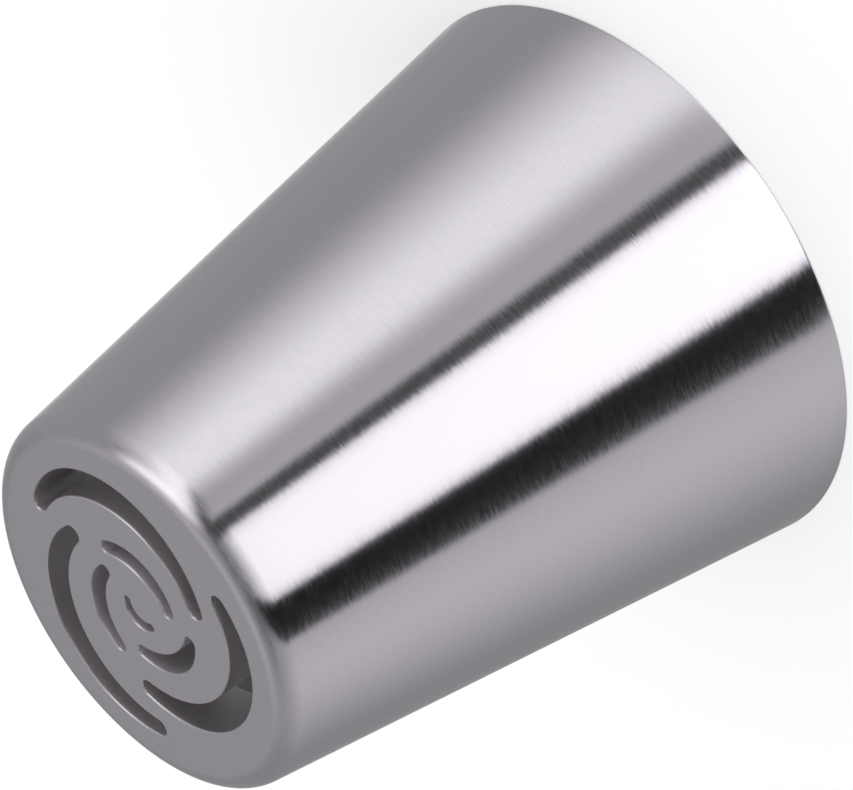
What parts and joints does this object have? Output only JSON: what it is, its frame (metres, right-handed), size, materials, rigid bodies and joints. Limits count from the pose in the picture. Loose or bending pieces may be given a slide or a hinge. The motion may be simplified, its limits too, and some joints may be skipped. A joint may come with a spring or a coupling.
{
  "type": "piping nozzle",
  "caption": "Tapered steel piping nozzle: an open cone that narrows to a flat face pierced with a spiral rose of curved slots, for squeezing icing into a flower.",
  "frame": {"origin": "centre of the mouth's rim, in the plane that the nozzle stands on", "axes": "+Z along the nozzle's axis from the mouth to the slotted face; -Y faces the picture's camera; +X completes a right-handed set"},
  "size_m": [0.035, 0.035, 0.0385],
  "materials": {
    "cone_steel": "drawn and spun stainless sheet, polished round the axis",
    "disc_steel": "satin stainless plate with bright slot walls",
    "weld_steel": "as-welded stainless, slightly tinted"
  },
  "bodies": {
    "root": {"cone_sleeve": "cone_steel", "petal_disc": "disc_steel", "weld_bead": "weld_steel"}
  },
  "joints": []
}
